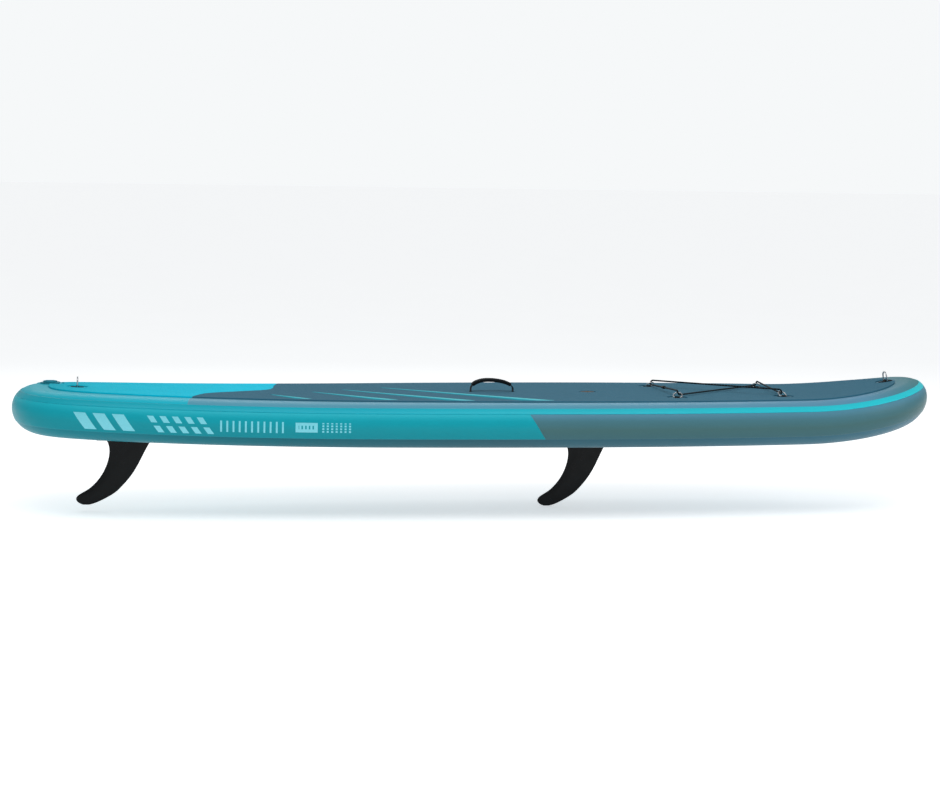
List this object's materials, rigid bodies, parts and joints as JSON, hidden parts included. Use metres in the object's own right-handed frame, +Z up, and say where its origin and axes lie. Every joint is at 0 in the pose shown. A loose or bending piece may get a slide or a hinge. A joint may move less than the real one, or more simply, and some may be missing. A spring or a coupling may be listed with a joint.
{
  "type": "inflatable windsurf board",
  "caption": "Inflatable windsurf board with rocker, soft deck pad, mast foot socket, centre and tail fins, carry handle, cargo bungee, tow rings and inflation valve.",
  "frame": {"origin": "middle of the mast foot's threaded hole where it meets the deck skin", "axes": "+X along the board to the nose, +Z up out of the deck, +Y to the left (port) rail"},
  "size_m": [3.2025, 0.8126, 0.4733],
  "materials": {
    "pvc_slate": "satin",
    "pvc_bottom": "satin",
    "pvc_cyan": "satin",
    "pvc_teal": "satin",
    "pvc_grey": "satin",
    "pvc_inner": "matte",
    "pvc_black": "satin",
    "yarn": "matte",
    "eva_cyan": "matte",
    "eva_slate": "matte",
    "eva_teal": "matte",
    "webbing": "matte",
    "neoprene": "matte",
    "cord": "matte",
    "steel": "polished",
    "brass": "satin",
    "black_plastic": "satin",
    "grey_plastic": "satin",
    "seal": "matte"
  },
  "bodies": {
    "hull": {"deck_skin": "pvc_slate", "bottom_skin": "pvc_bottom", "inner_rail_wall": "pvc_inner", "rail_stripe_left": "pvc_cyan", "rail_stripe_right": "pvc_cyan", "rear_rail_band_left": "pvc_teal", "rear_rail_band_right": "pvc_teal", "front_rail_band_left": "pvc_grey", "front_rail_band_right": "pvc_grey", "drop_stitch_yarns": "yarn", "main_deck_pad": "eva_slate", "tail_deck_pad": "eva_cyan", "pad_slash_1": "eva_teal", "pad_slash_2": "eva_teal", "pad_slash_3": "eva_teal", "pad_slash_4": "eva_teal", "mast_foot_patch": "pvc_slate", "mast_foot_insert": "black_plastic", "mast_foot_thread": "brass", "handle_patches": "pvc_slate", "handle_feet": "webbing", "nose_patch": "pvc_slate", "nose_loop": "webbing", "tail_patch": "pvc_cyan", "tail_loop": "webbing", "bungee_cord": "cord", "bungee_joiner": "black_plastic", "bungee_patches": "pvc_slate", "bungee_loops": "webbing", "valve_patch": "pvc_cyan", "valve_gasket": "seal", "valve_body": "grey_plastic", "valve_nut": "grey_plastic", "valve_spring": "steel", "tether_anchor": "black_plastic", "tail_fin_patch": "pvc_bottom", "tail_fin_box": "pvc_black", "centre_fin_patch": "pvc_bottom", "centre_fin_box": "pvc_black"},
    "handle": {"handle_webbing": "webbing", "handle_grip": "neoprene"},
    "nose_ring": {"nose_ring": "steel"},
    "tail_ring": {"tail_ring": "steel"},
    "bungee_ring_rear_left": {"bungee_ring_rear_left": "steel"},
    "bungee_ring_rear_right": {"bungee_ring_rear_right": "steel"},
    "bungee_ring_front_left": {"bungee_ring_front_left": "steel"},
    "bungee_ring_front_right": {"bungee_ring_front_right": "steel"},
    "valve_stem": {"valve_stem": "grey_plastic", "valve_stem_seal": "seal"},
    "valve_tether": {"cap_tether": "black_plastic"},
    "valve_cap": {"valve_cap": "black_plastic", "valve_cap_seal": "seal"},
    "tail_fin": {"tail_fin": "black_plastic", "tail_fin_pin": "brass", "tail_fin_plate": "brass"},
    "tail_fin_screw": {"tail_fin_screw": "steel"},
    "centre_fin": {"centre_fin": "black_plastic", "centre_fin_pin": "brass", "centre_fin_plate": "brass"},
    "centre_fin_screw": {"centre_fin_screw": "steel"}
  },
  "joints": [
    {"name": "handle_swing", "type": "hinge", "parent": "hull", "child": "handle", "pos_m": [-0.34, 0, 0.015], "axis": [1, 0, 0], "range_deg": [-60, 60], "stiffness_Nm_per_rad": 0.3},
    {"name": "nose_ring_swing", "type": "hinge", "parent": "hull", "child": "nose_ring", "pos_m": [1.08601, 0, 0.04342], "axis": [0, 1, 0], "range_deg": [-80, 80], "stiffness_Nm_per_rad": 0.02},
    {"name": "tail_ring_swing", "type": "hinge", "parent": "hull", "child": "tail_ring", "pos_m": [-1.7588, 0, 0.02359], "axis": [0, 1, 0], "range_deg": [-80, 80], "stiffness_Nm_per_rad": 0.02},
    {"name": "bungee_ring_rear_left_swing", "type": "hinge", "parent": "hull", "child": "bungee_ring_rear_left", "pos_m": [0.27, 0.195, 0.00465], "axis": [0.9143, 0.405, 0], "range_deg": [-3, 3], "stiffness_Nm_per_rad": 0.5},
    {"name": "bungee_ring_rear_right_swing", "type": "hinge", "parent": "hull", "child": "bungee_ring_rear_right", "pos_m": [0.27, -0.195, 0.00465], "axis": [-0.9143, 0.405, 0], "range_deg": [-3, 3], "stiffness_Nm_per_rad": 0.5},
    {"name": "bungee_ring_front_left_swing", "type": "hinge", "parent": "hull", "child": "bungee_ring_front_left", "pos_m": [0.659, 0.158, 0.00465], "axis": [0.9143, -0.405, 0], "range_deg": [-3, 3], "stiffness_Nm_per_rad": 0.5},
    {"name": "bungee_ring_front_right_swing", "type": "hinge", "parent": "hull", "child": "bungee_ring_front_right", "pos_m": [0.659, -0.158, 0.00465], "axis": [-0.9143, -0.405, 0], "range_deg": [-3, 3], "stiffness_Nm_per_rad": 0.5},
    {"name": "valve_stem_press", "type": "slide", "parent": "hull", "child": "valve_stem", "axis": [0, 0, 1], "range_m": [-0.005, 0], "stiffness_N_per_m": 600, "springref_m": 0.002, "deforming": ["valve_spring"]},
    {"name": "valve_cap_lift", "type": "slide", "parent": "hull", "child": "valve_tether", "axis": [0, 0, 1], "range_m": [0, 0.03]},
    {"name": "valve_cap_turn", "type": "hinge", "parent": "valve_tether", "child": "valve_cap", "pos_m": [-1.849, 0.1, 0.02216], "axis": [0, 0, 1], "range_deg": [-45, 0]},
    {"name": "tail_fin_slide", "type": "slide", "parent": "hull", "child": "tail_fin", "axis": [0.9995, 0, -0.0312], "range_m": [-0.015, 0.015]},
    {"name": "tail_fin_screw_turn", "type": "hinge", "parent": "tail_fin", "child": "tail_fin_screw", "pos_m": [-1.50414, 0, -0.16524], "axis": [0.0312, 0, 0.9995], "continuous": true},
    {"name": "centre_fin_slide", "type": "slide", "parent": "hull", "child": "centre_fin", "axis": [1, 0, 0], "range_m": [-0.015, 0.015]},
    {"name": "centre_fin_screw_turn", "type": "hinge", "parent": "centre_fin", "child": "centre_fin_screw", "pos_m": [0.08168, 0, -0.175], "axis": [0, 0, 1], "continuous": true}
  ]
}
